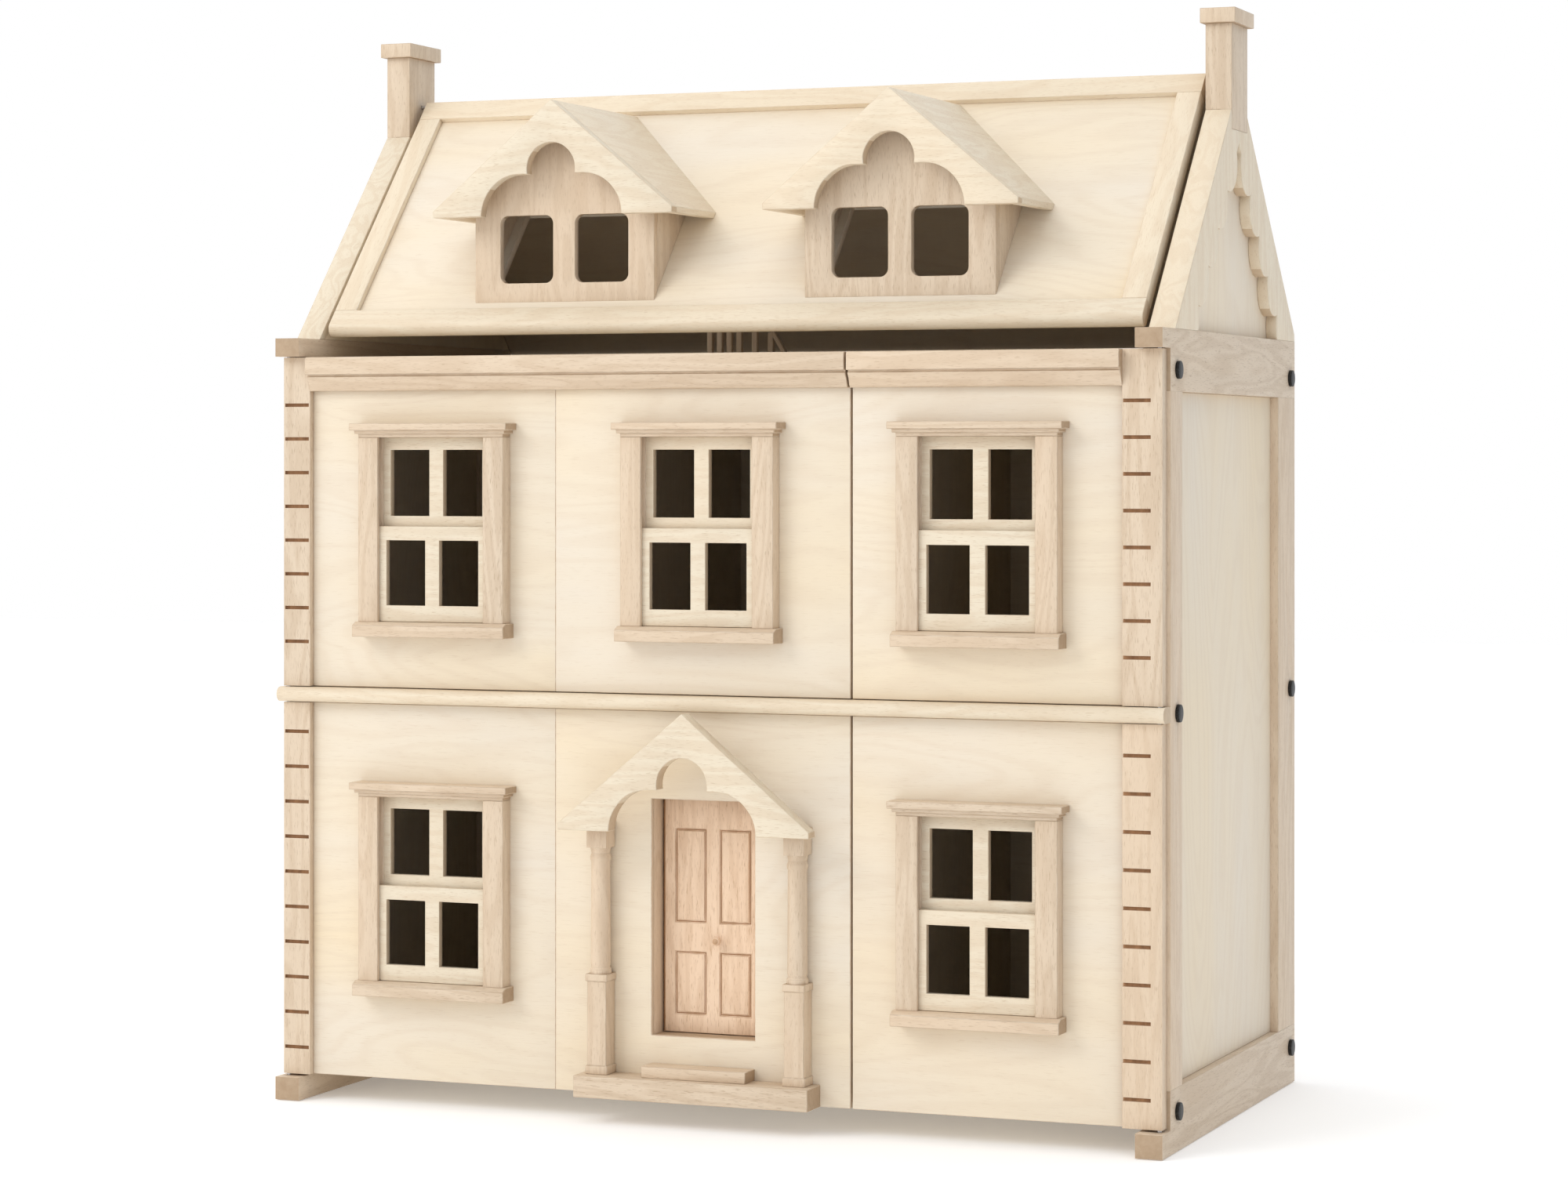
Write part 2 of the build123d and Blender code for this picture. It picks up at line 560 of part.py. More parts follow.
window("upper_left", "upper_left_door", left_bay, 0.0)
window("upper_centre", "upper_left_door", centre_bay, 0.0)
window("upper_right", "upper_right_door", right_bay, 0.0)
window("lower_left", "lower_left_door", left_bay, -STOREY_STEP)
window("lower_right", "lower_right_door", right_bay, -STOREY_STEP)


# ---- Entrance -----------------------------------------------------------------------------
def entry_lining():
    """Deep box behind the doorway that the front door closes."""
    outer = ENTRY_HALF + LINING_T
    y0, y1 = DOOR_BACK, LINING_BACK
    z0, z1 = ENTRY_Z
    lining = box(PORCH_X - outer, PORCH_X + outer, y0, y1, z0 - LINING_T, z1 + LINING_T)
    lining -= box(PORCH_X - ENTRY_HALF, PORCH_X + ENTRY_HALF, y0 - 1, y1 + 1, z0, z1)
    return lining - leaf_bores(LEAF_PIN_R)


def leaf_pin_place():
    half = ENTRY_HALF - LEAF_GAP
    thickness = LEAF_Y[1] - LEAF_Y[0]
    return PORCH_X - half + thickness / 2, (LEAF_Y[0] + LEAF_Y[1]) / 2


def leaf_bores(radius):
    x, y = leaf_pin_place()
    low = rod_z(radius, x, y, ENTRY_Z[0] - LINING_T, ENTRY_Z[0] + LEAF_PIN_GRIP)
    return low + rod_z(radius, x, y, ENTRY_Z[1] - LEAF_PIN_GRIP, ENTRY_Z[1] + LINING_T)


def leaf_pins():
    x, y = leaf_pin_place()
    reach = LEAF_PIN_GRIP - PIN_END_GAP
    low = rod_z(LEAF_PIN_R, x, y, ENTRY_Z[0] - LINING_T, ENTRY_Z[0] + reach)
    return low, rod_z(LEAF_PIN_R, x, y, ENTRY_Z[1] - reach, ENTRY_Z[1] + LINING_T)


def front_door():
    """Four-panel leaf with one edge rounded about its pivot pins."""
    half = ENTRY_HALF - LEAF_GAP
    pin_x, pin_y = leaf_pin_place()
    z0, z1 = ENTRY_Z[0] + LEAF_GAP, ENTRY_Z[1] - LEAF_GAP
    leaf = box(pin_x, PORCH_X + half, *LEAF_Y, z0, z1)
    leaf += rod_z((LEAF_Y[1] - LEAF_Y[0]) / 2, pin_x, pin_y, z0, z1)
    near, far = LEAF_PANEL_X
    face = LEAF_Y[0]
    for low, high in LEAF_PANEL_Z:
        for side in (-1, 1):
            x0, x1 = sorted((PORCH_X + side * near, PORCH_X + side * far))
            groove = box(x0, x1, face, face + LEAF_GROOVE_D, low, high)
            groove -= box(x0 + LEAF_GROOVE_W, x1 - LEAF_GROOVE_W, face, face + LEAF_GROOVE_D,
                          low + LEAF_GROOVE_W, high - LEAF_GROOVE_W)
            leaf -= groove
    return leaf - leaf_bores(LEAF_BORE_R)


def door_knob():
    face = LEAF_Y[0]
    stem = rod_y(KNOB_STEM_R, KNOB_X, face - KNOB_STAND, face, KNOB_Z)
    return stem + Pos(KNOB_X, face - KNOB_STAND - MID_DEPTH, KNOB_Z) * Sphere(KNOB_R)


def trefoil(x, base, y0, y1):
    """Arched cut with one top lobe over two side lobes."""
    inner = ARCH_HALF - ARCH_CORNER
    cut = rod_y(LOBE_R, x, y0, y1, base + LOBE_RISE)
    cut += box(x - inner, x + inner, y0, y1, base - 1, base + ARCH_CORNER)
    for side in (-1, 1):
        cut += rod_y(ARCH_CORNER, x + side * inner, y0, y1, base)
    return cut


def gable_board(x, y_range, base):
    """Pointed board with a trefoil arch cut from its lower edge."""
    apex, tip = base + GABLE_RISE, base + GABLE_TIP
    board = along_y([(x - GABLE_HALF, base), (x - GABLE_HALF, tip), (x, apex),
                     (x + GABLE_HALF, tip), (x + GABLE_HALF, base)], *y_range)
    return board - trefoil(x, base, y_range[0] - 1, y_range[1] + 1)


def column(x):
    """Pedestal, turned shaft with a square capital, and the bracket above it."""
    y = PEDESTAL_FRONT + PEDESTAL / 2
    half = PEDESTAL / 2
    core = half - PEDESTAL_STEP
    foot, low, top = PLINTH[2], PEDESTAL_TOP, CAPITAL_BOTTOM
    pedestal = box(x - core, x + core, y - core, y + half, foot, low)
    pedestal += box(x - half, x + half, y - half, y + half, foot, foot + PEDESTAL_BASE_H)
    pedestal += box(x - half, x + half, y - half, y + half, low - PEDESTAL_CAP_H, low)
    corners = [Vector(0, 0, low)]
    corners += [Vector(radius, 0, low + z) for radius, z in COLUMN_FOOT]
    corners += [Vector(radius, 0, top + z) for radius, z in COLUMN_HEAD]
    corners.append(Vector(0, 0, top))
    turned = revolve(make_face(Polyline(*corners, close=True)), Axis.Z)
    shaft = Pos(x, y - MID_DEPTH, 0) * turned
    shaft += box(x - CAPITAL_HALF, x + CAPITAL_HALF, y - CAPITAL_HALF, y + CAPITAL_HALF,
                 top, COLUMN_TOP)
    bracket = box(x - BRACKET_W / 2, x + BRACKET_W / 2, PORCH_BOARD_Y[1], DOOR_PLY_FRONT,
                  COLUMN_TOP, BRACKET_TOP)
    return pedestal, shaft, bracket


keep("entry_lining", entry_lining())
keep("front_door", front_door())
keep("front_door_pins", *leaf_pins())
keep("door_knob", door_knob())
keep("porch_gable_board", gable_board(PORCH_X, PORCH_BOARD_Y, COLUMN_TOP))
for side in (-1, 1):
    keep("porch_columns", *column(PORCH_X + side * COLUMN_OFFSET))
plinth_half, plinth_front, plinth_top = PLINTH
step_half, step_front, step_top = STEP
keep("porch_base", box(PORCH_X - plinth_half, PORCH_X + plinth_half, plinth_front,
                       DOOR_PLY_FRONT, LOWER_DOOR_Z[0], plinth_top))
keep("porch_base", box(PORCH_X - step_half, PORCH_X + step_half, step_front, DOOR_PLY_FRONT,
                       plinth_top, step_top))


# ---- Opening roof panel -------------------------------------------------------------------
def roof_point(down, out):
    """Depth and height of a point down the slope from the ridge and out from the rake plane."""
    angle = radians(PITCH)
    return (MID_RIDGE - down * cos(angle) - out * sin(angle),
            rake_height(MID_RIDGE) - down * sin(angle) + out * cos(angle))


def roof_slab(down0, down1, out0, out1, x0, x1):
    return along_x([roof_point(down0, out0), roof_point(down1, out0), roof_point(down1, out1),
                    roof_point(down0, out1)], x0, x1)


def top_rail():
    """Upper rail with an upright end and its top corner rounded about the hinge axis."""
    rail = roof_slab(-ROOF_OVERRUN, TOP_RAIL_W, FRAME_IN, FRAME_OUT, -ROOF_HALF, ROOF_HALF)
    rail &= box(-ROOF_HALF, ROOF_HALF, 0, ROOF_TOP_END, EAVES, CHIMNEY_TOP)
    corner = box(-ROOF_HALF, ROOF_HALF, HINGE_Y, ROOF_TOP_END + 1, HINGE_Z, CHIMNEY_TOP)
    rail -= corner
    rail -= box(-ROOF_HALF, ROOF_HALF, HINGE_Y - HINGE_CORNER_R, HINGE_Y,
                HINGE_Z + HINGE_CORNER_R, CHIMNEY_TOP)
    rail += rod_x(HINGE_CORNER_R, -ROOF_HALF, ROOF_HALF, HINGE_Y, HINGE_Z)
    for side in (-1, 1):
        rail -= rod_x(BORE_R, side * (ROOF_HALF - PIN_GRIP), side * ROOF_HALF, HINGE_Y, HINGE_Z)
    return rail


def roof_frame():
    bottom = roof_slab(BOTTOM_RAIL_START, ROOF_LENGTH, FRAME_IN, FRAME_OUT, -ROOF_HALF, ROOF_HALF)
    radius = (FRAME_OUT - FRAME_IN) / 2
    nose = roof_point(ROOF_LENGTH, (FRAME_OUT + FRAME_IN) / 2)
    bottom += rod_x(radius, -ROOF_HALF, ROOF_HALF, *nose)
    stiles = [roof_slab(TOP_RAIL_W, BOTTOM_RAIL_START, FRAME_IN, FRAME_OUT, x0, x0 + ROOF_STILE_W)
              for x0 in (-ROOF_HALF, ROOF_HALF - ROOF_STILE_W)]
    return [top_rail(), bottom] + stiles


def roof_field():
    half = ROOF_HALF - ROOF_STILE_W
    field = roof_slab(TOP_RAIL_W, BOTTOM_RAIL_START, -FIELD_T, 0, -half, half)
    well_half, well_front, well_back = DORMER_WELL
    for x in DORMER_X:
        field -= box(x - well_half, x + well_half, well_front, well_back, EAVES, CHIMNEY_TOP)
    return field


def above_field():
    """The space outside the roof field, as a thick slab."""
    return roof_slab(-ROOF_OVERRUN, ROOF_LENGTH, 0, ROOF_LENGTH, -HALF_WIDTH, HALF_WIDTH)


def dormer_roof(x):
    """Two slabs that meet at a ridge and run back to the main roof."""
    apex = DORMER_BASE + GABLE_RISE
    tip = DORMER_BASE + GABLE_TIP
    drop = DORMER_SLAB_T * (1 + GABLE_SLOPE ** 2) ** 0.5
    base = box(-HALF_WIDTH, HALF_WIDTH, 0, DEPTH, DORMER_BASE, CHIMNEY_TOP)
    slabs = []
    for side in (-1, 1):
        edge = x + side * GABLE_HALF
        slab = along_y([(x, apex), (edge, tip), (edge, tip - drop), (x, apex - drop)],
                       DORMER_BOARD_Y[1], MID_RIDGE)
        slabs.append(slab & base & above_field())
    return slabs


def dormer_room(x):
    """The space below a pair of dormer roof slabs."""
    drop = DORMER_SLAB_T * (1 + GABLE_SLOPE ** 2) ** 0.5
    top = DORMER_BASE + GABLE_RISE - drop
    low = top - DORMER_HALF * GABLE_SLOPE
    room = along_y([(x - DORMER_HALF, EAVES), (x - DORMER_HALF, low), (x, top),
                    (x + DORMER_HALF, low), (x + DORMER_HALF, EAVES)],
                   DORMER_WALL_Y[0], MID_RIDGE)
    return room & above_field()


def dormer_walls(x):
    y0, y1 = DORMER_WALL_Y
    room = dormer_room(x)
    front = room & box(x - DORMER_HALF, x + DORMER_HALF, y0, y1, EAVES, CHIMNEY_TOP)
    z0, z1 = DORMER_WINDOW_Z
    for side in (-1, 1):
        middle = x + side * DORMER_WINDOW_OFFSET
        light = box(middle - DORMER_WINDOW_W / 2, middle + DORMER_WINDOW_W / 2, y0 - 1, y1 + 1,
                    z0, z1)
        front -= fillet(light.edges().filter_by(Axis.Y), DORMER_WINDOW_R)
    inner = DORMER_HALF - CHEEK_T
    cheeks = [room & box(x + side * inner, x + side * DORMER_HALF, y1, MID_RIDGE, EAVES,
                         CHIMNEY_TOP) for side in (-1, 1)]
    return [front] + cheeks


keep("roof_frame", *roof_frame())
keep("roof_field", roof_field())
for name, x in zip(("left", "right"), DORMER_X):
    keep(name + "_dormer_walls", *dormer_walls(x))
    keep(name + "_dormer_roof", *dormer_roof(x))
    keep(name + "_dormer_bargeboard", gable_board(x, DORMER_BOARD_Y, DORMER_BASE))


# ---- Write one file per node --------------------------------------------------------------
os.makedirs("parts", exist_ok=True)
for node, pieces in nodes.items():
    shape = pieces[0] if len(pieces) == 1 else Compound(children=pieces)
    export_step(shape, f"parts/{node}.step")
print(len(nodes), "nodes,", sum(len(pieces) for pieces in nodes.values()), "solids")
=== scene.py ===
import json
import random
from math import atan2, pi, radians

import bmesh
import bpy
from mathutils import Matrix, Vector


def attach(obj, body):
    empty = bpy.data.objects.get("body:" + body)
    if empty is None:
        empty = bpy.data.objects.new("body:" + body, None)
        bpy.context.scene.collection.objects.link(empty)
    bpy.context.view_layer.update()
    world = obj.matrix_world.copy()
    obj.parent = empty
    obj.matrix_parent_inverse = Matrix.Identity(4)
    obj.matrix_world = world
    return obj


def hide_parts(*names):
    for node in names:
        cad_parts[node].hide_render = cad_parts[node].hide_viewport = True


# The looks of the wooden doll's house.  Each CAD solid becomes one piece of timber or metal with
# eased edges, its own grain direction and its own stretch of figure.  Everything is in metres.

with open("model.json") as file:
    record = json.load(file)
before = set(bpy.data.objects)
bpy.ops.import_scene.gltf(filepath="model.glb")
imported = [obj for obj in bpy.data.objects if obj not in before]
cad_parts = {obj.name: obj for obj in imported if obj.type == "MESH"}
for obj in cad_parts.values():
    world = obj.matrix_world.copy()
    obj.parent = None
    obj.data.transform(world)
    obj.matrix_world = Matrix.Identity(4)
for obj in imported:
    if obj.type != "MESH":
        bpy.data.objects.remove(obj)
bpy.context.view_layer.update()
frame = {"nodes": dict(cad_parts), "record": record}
slot_of_node = {entry["node"]: entry["material_slot"] for entry in frame["record"]["subparts"]}

PITCH = radians(48)           # of both roof slopes
EASED_EDGE = 0.0005           # radius of the eased edges
SMALL_EDGE = 0.0003           # the same on sashes, pins and other fine pieces
SHARP_ANGLE = radians(32)     # edges sharper than this are eased
SMOOTH_ANGLE = radians(50)    # shading runs smoothly over edges flatter than this
FLAT_ANGLE = radians(0.3)     # neighbouring faces closer than this become one
WELD_DISTANCE = 2e-6
SLIVER_LENGTH = 1e-6
THINNEST = 1e-4
MICRONS = 1e6                 # in a metre, to which corners are compared
FACE_COSINE = 0.6             # a plywood face nearer the thickness direction than this is veneer
END_COSINE = 0.75             # a solid face nearer the grain direction than this is a sawn end
FIGURE_SHIFT = 4              # how far a piece's figure may be moved, either way
FACE, CUT_END, EASED, GROOVE = range(4)             # places in a piece's list of materials

# Linear light colours: pale figure, dark figure, worn or end-grain edge.
TONES = {
    "plywood": ((0.79, 0.715, 0.60), (0.66, 0.525, 0.385), (0.60, 0.46, 0.31)),
    "pale_trim": ((0.79, 0.715, 0.57), (0.66, 0.53, 0.38), (0.52, 0.385, 0.25)),
    "rubberwood": ((0.73, 0.61, 0.47), (0.53, 0.40, 0.275), (0.38, 0.26, 0.16)),
    "door_wood": ((0.90, 0.70, 0.52), (0.66, 0.46, 0.305), (0.42, 0.24, 0.12)),
}
VENEER_CLOUD, VENEER_PORE, VENEER_WARM = (0.83, 0.70, 0.50), (0.50, 0.35, 0.21), (0.80, 0.64, 0.46)
WARM_SHIFT = (1.05, 0.94, 0.84)
# Groove colours: the blade's brown scorch, made darker as painted shade for the shadow deep in the
# grooves, and the depths behind the front where those groove faces lie.
SCORCH_AND_SHADE = ((0.46, 0.25, 0.12), (0.24, 0.12, 0.055))
SCORCH_AND_SHADE_DEPTH = {"quoin": (0.0004, 0.0025), "front_door": (0.0002, 0.0014)}   # behind the front
BLACKENED, STEEL = (0.018, 0.017, 0.016), (0.50, 0.50, 0.51)
SCUFF_GAIN, SCUFF_LIFT = 1.8, 0.02                  # how much lighter worn metal is
SPECULAR_LEVEL = 0.35         # of every piece


# ---- Materials ----------------------------------------------------------------------------
class Nodes:
    """Small helper for building a material's node tree."""

    def __init__(self, name):
        self.material = bpy.data.materials.new(name)
        self.material.use_nodes = True
        self.tree = self.material.node_tree
        self.shader = self.tree.nodes["Principled BSDF"]

    def add(self, kind, **values):
        node = self.tree.nodes.new("ShaderNode" + kind)
        for key, value in values.items():
            setattr(node, key, value)
        return node

    def link(self, source, target):
        self.tree.links.new(source, target)

    def math(self, operation, *values):
        node = self.add("Math", operation=operation)
        for socket, value in zip(node.inputs, values):
            if isinstance(value, (int, float)):
                socket.default_value = value
            else:
                self.link(value, socket)
        return node.outputs[0]

    def noise(self, vector, scale, detail, roughness=0.5, distortion=0.0):
        node = self.add("TexNoise")
        node.inputs["Scale"].default_value = scale
        node.inputs["Detail"].default_value = detail
        node.inputs["Roughness"].default_value = roughness
        node.inputs["Distortion"].default_value = distortion
        self.link(vector, node.inputs["Vector"])
        return node.outputs["Fac"]

    def ramp(self, factor, stops):
        node = self.add("ValToRGB")
        elements = node.color_ramp.elements
        while len(elements) < len(stops):
            elements.new(0.5)
        for element, (position, colour) in zip(elements, stops):
            element.position = position
            element.color = (*colour, 1.0) if isinstance(colour, tuple) else (colour,) * 3 + (1.0,)
        self.link(factor, node.inputs["Fac"])
        return node.outputs["Color"]

    def blend(self, factor, first, second):
        node = self.add("Mix", data_type="RGBA", blend_type="MIX")
        for socket, value in ((node.inputs[0], factor), (node.inputs[6], first),
                              (node.inputs[7], second)):
            if isinstance(value, (int, float)):
                socket.default_value = value
            elif isinstance(value, tuple):
                socket.default_value = (*value, 1.0)
            else:
                self.link(value, socket)
        return node.outputs[2]

    def stain(self, colour, tone, mask, amount):
        """Moves the colour towards the tone by the amount, where the mask is white."""
        return self.blend(self.math("MULTIPLY", mask, amount), colour, tone)

    def bump(self, height, strength, distance):
        node = self.add("Bump")
        node.inputs["Strength"].default_value = strength
        node.inputs["Distance"].default_value = distance
        self.link(height, node.inputs["Height"])
        self.link(node.outputs["Normal"], self.shader.inputs["Normal"])

    def grain_space(self, along, across):
        """Coordinates along and across the grain, from the piece's own grain attribute."""
        attribute = self.add("Attribute", attribute_name="grain")
        stretch = self.add("Mapping")
        stretch.inputs["Scale"].default_value = (along, across, across)
        self.link(attribute.outputs["Vector"], stretch.inputs["Vector"])
        return stretch.outputs["Vector"]

    def tint(self):
        attribute = self.add("Attribute", attribute_name="tint")
        return attribute.outputs["Fac"]


def finish(nodes, colour, roughness_low, roughness_high, fibre):
    spread = nodes.add("MapRange")
    spread.inputs["To Min"].default_value = roughness_low
    spread.inputs["To Max"].default_value = roughness_high
    nodes.link(fibre, spread.inputs["Value"])
    nodes.link(spread.outputs["Result"], nodes.shader.inputs["Roughness"])
    nodes.link(colour, nodes.shader.inputs["Base Color"])
    nodes.shader.inputs["Specular IOR Level"].default_value = SPECULAR_LEVEL


def plywood():
    """Rotary-cut veneer: wide wandering contour figure, soft fibres, faint pores."""
    pale, dark, _ = TONES["plywood"]
    nodes = Nodes("plywood_veneer")
    field = nodes.noise(nodes.grain_space(1.8, 9.0), 1.0, 2.5, 0.5, 0.5)
    rings = nodes.math("SINE", nodes.math("MULTIPLY", field, 150.0))
    figure = nodes.ramp(nodes.math("MULTIPLY_ADD", rings, 0.5, 0.5), [(0.45, 0.0), (1.0, 1.0)])
    fibre = nodes.noise(nodes.grain_space(30.0, 900.0), 1.0, 3.0, 0.6)
    cloud = nodes.noise(nodes.grain_space(3.0, 9.0), 1.0, 3.0, 0.5)
    pits = nodes.noise(nodes.grain_space(110.0, 1500.0), 1.0, 2.0)
    pores = nodes.ramp(pits, [(0.30, 1.0), (0.40, 0.0)])
    colour = nodes.blend(nodes.ramp(cloud, [(0.35, 0.0), (0.75, 1.0)]), pale, VENEER_CLOUD)
    colour = nodes.stain(colour, dark, figure, 0.17)
    colour = nodes.stain(colour, dark, fibre, 0.22)
    colour = nodes.stain(colour, VENEER_PORE, pores, 0.16)
    colour = nodes.stain(colour, VENEER_WARM, nodes.tint(), 0.22)
    nodes.bump(nodes.math("SUBTRACT", fibre, pores), 0.25, 0.00012)
    finish(nodes, colour, 0.42, 0.62, fibre)
    return nodes.material


def solid_wood(slot):
    """Straight-grained hardwood: growth bands, fibres and short dark pore streaks."""
    pale, dark, edge = TONES[slot]
    nodes = Nodes(slot + "_long_grain")
    sway = nodes.noise(nodes.grain_space(5.0, 42.0), 1.0, 2.5, 0.5, 0.5)
    rings = nodes.math("SINE", nodes.math("MULTIPLY", sway, 46.0))
    bands = nodes.ramp(nodes.math("MULTIPLY_ADD", rings, 0.5, 0.5), [(0.2, 0.0), (0.9, 1.0)])
    fibre = nodes.noise(nodes.grain_space(45.0, 1300.0), 1.0, 3.0, 0.65)
    pits = nodes.noise(nodes.grain_space(170.0, 2300.0), 1.0, 1.0)
    streaks = nodes.ramp(pits, [(0.31, 1.0), (0.39, 0.0)])
    cloud = nodes.noise(nodes.grain_space(8.0, 24.0), 1.0, 2.0, 0.5)
    colour = nodes.stain(pale, dark, bands, 0.46)
    colour = nodes.stain(colour, dark, cloud, 0.34)
    colour = nodes.stain(colour, dark, fibre, 0.34)
    colour = nodes.stain(colour, edge, streaks, 0.55)
    warm = tuple(value * factor for value, factor in zip(pale, WARM_SHIFT))
    colour = nodes.stain(colour, warm, nodes.tint(), 0.35)
    nodes.bump(nodes.math("SUBTRACT", fibre, streaks), 0.3, 0.00016)
    finish(nodes, colour, 0.40, 0.60, fibre)
    return nodes.material


def end_grain(slot):
    """Sawn ends: darker, speckled, without streaks."""
    _, dark, edge = TONES[slot]
    nodes = Nodes(slot + "_end_grain")
    speck = nodes.noise(nodes.grain_space(1500.0, 1500.0), 1.0, 3.0, 0.6)
    rings = nodes.noise(nodes.grain_space(20.0, 160.0), 1.0, 2.0, 0.5, 1.0)
    colour = nodes.blend(rings, dark, edge)
    colour = nodes.stain(colour, edge, speck, 0.35)
    nodes.bump(speck, 0.3, 0.00015)
    finish(nodes, colour, 0.55, 0.75, speck)
    return nodes.material


def rubbed_edge(slot):
    """Eased edges, where handling has warmed and polished the lacquer."""
    pale, dark, edge = TONES[slot]
    nodes = Nodes(slot + "_eased_edge")
    wear = nodes.noise(nodes.grain_space(60.0, 160.0), 1.0, 4.0, 0.6)
    fibre = nodes.noise(nodes.grain_space(60.0, 1200.0), 1.0, 2.0, 0.5)
    colour = nodes.blend(nodes.ramp(wear, [(0.35, 0.0), (0.70, 1.0)]), dark, pale)
    colour = nodes.stain(colour, edge, fibre, 0.3)
    nodes.bump(fibre, 0.2, 0.0001)
    finish(nodes, colour, 0.32, 0.52, wear)
    return nodes.material


def ply_edge():
    """Cut edge of plywood: glue lines between the cross-laid plies."""
    pale, dark, edge = TONES["plywood"]
    nodes = Nodes("plywood_cut_edge")
    attribute = nodes.add("Attribute", attribute_name="layer")
    layers = nodes.ramp(attribute.outputs["Fac"], [(0.0, 0.0), (0.30, 0.0), (0.34, 1.0), (0.66, 1.0),
                                                  (0.70, 0.0), (1.0, 0.0)])
    fibre = nodes.noise(nodes.grain_space(300.0, 900.0), 1.0, 3.0, 0.6)
    colour = nodes.stain(dark, edge, layers, 0.6)
    colour = nodes.stain(colour, pale, fibre, 0.35)
    nodes.bump(fibre, 0.3, 0.00015)
    finish(nodes, colour, 0.55, 0.75, fibre)
    return nodes.material


def scorched_and_shaded(name):
    """Floor and sides of a sawn groove, browned by the blade and darkened further as painted shade.
    """
    brown, black = SCORCH_AND_SHADE
    nodes = Nodes(name)
    blotch = nodes.noise(nodes.grain_space(90.0, 220.0), 1.0, 4.0, 0.6)
    fibre = nodes.noise(nodes.grain_space(120.0, 1600.0), 1.0, 2.0, 0.5)
    colour = nodes.blend(nodes.ramp(blotch, [(0.30, 0.0), (0.75, 1.0)]), brown, black)
    colour = nodes.stain(colour, black, fibre, 0.25)
    nodes.bump(fibre, 0.4, 0.0002)
    finish(nodes, colour, 0.65, 0.85, fibre)
    return nodes.material


def metal(name, colour, roughness, metallic):
    nodes = Nodes(name)
    coordinates = nodes.add("TexCoord").outputs["Object"]
    scuff = nodes.noise(coordinates, 900.0, 4.0, 0.6)
    shade = nodes.blend(nodes.ramp(scuff, [(0.45, 0.0), (0.75, 1.0)]), colour,
                        tuple(min(1.0, value * SCUFF_GAIN + SCUFF_LIFT) for value in colour))
    nodes.bump(scuff, 0.2, 0.0001)
    finish(nodes, shade, roughness, roughness + 0.2, scuff)
    nodes.shader.inputs["Metallic"].default_value = metallic
    return nodes.material


woods = {"plywood": [plywood(), ply_edge(), rubbed_edge("plywood")]}
for wood in ("pale_trim", "rubberwood", "door_wood"):
    # the fourth material is the grooves' scorch, darkened with painted shade
    woods[wood] = [solid_wood(wood), end_grain(wood), rubbed_edge(wood), scorched_and_shaded(wood + "_scorch_and_shade")]
metals = {"black_bolt": metal("blackened_bolt", BLACKENED, 0.35, 0.6),
          "steel_pin": metal("bright_steel", STEEL, 0.28, 1.0)}


# ---- One piece of timber from each CAD solid ----------------------------------------------
def split_solids(mesh):
    """Lists of faces, one for each closed solid, as lists of corner positions."""
    solids, faces, open_edges = [], [], set()
    for polygon in mesh.polygons:
        corners = [mesh.vertices[index].co for index in polygon.vertices]
        keys = [tuple(round(value * MICRONS) for value in corner) for corner in corners]
        faces.append([corner.copy() for corner in corners])
        for first, second in zip(keys, keys[1:] + keys[:1]):
            open_edges ^= {(min(first, second), max(first, second))}
        if not open_edges:
            solids.append(faces)
            faces = []
    if faces:
        solids.append(faces)
    return solids


def grain_axes(low, high, slope, grain):
    """Unit vectors along the grain, across it and through the thickness."""
    x, y, z = Vector((1, 0, 0)), Vector((0, 1, 0)), Vector((0, 0, 1))
    if slope is not None:
        turn = Matrix.Rotation(slope, 3, "X")
        y, z = turn @ y, turn @ z
        return [y, x, z] if grain == "Y" else [x, y, z]
    size = high - low
    axes = sorted(((size[i], i) for i in range(3)), reverse=True)
    units = (x, y, z)
    order = [units[index] for _, index in axes]
    if grain is not None:
        chosen = units["XYZ".index(grain)]
        order.remove(chosen)
        order.insert(0, chosen)
    return order


def set_floats(mesh, name, values):
    attribute = mesh.attributes.new(name, "FLOAT", "POINT")
    attribute.data.foreach_set("value", values)


def in_scorched_shaded_groove(face, node, low):
    """True for the floor and sides of a quoin's or the entrance door's grooves, which get the scorch
    darkened with painted shade.
    """
    for word, (shallow, deep) in SCORCH_AND_SHADE_DEPTH.items():
        if node.endswith(word):
            return shallow < face.calc_center_median().y - low.y < deep
    return False


def wood_of(node, slot):
    """The pale trim is the same timber as the rest, cut from whiter stock."""
    return "pale_trim" if slot == "rubberwood" and any(word in node for word in PALE) else slot


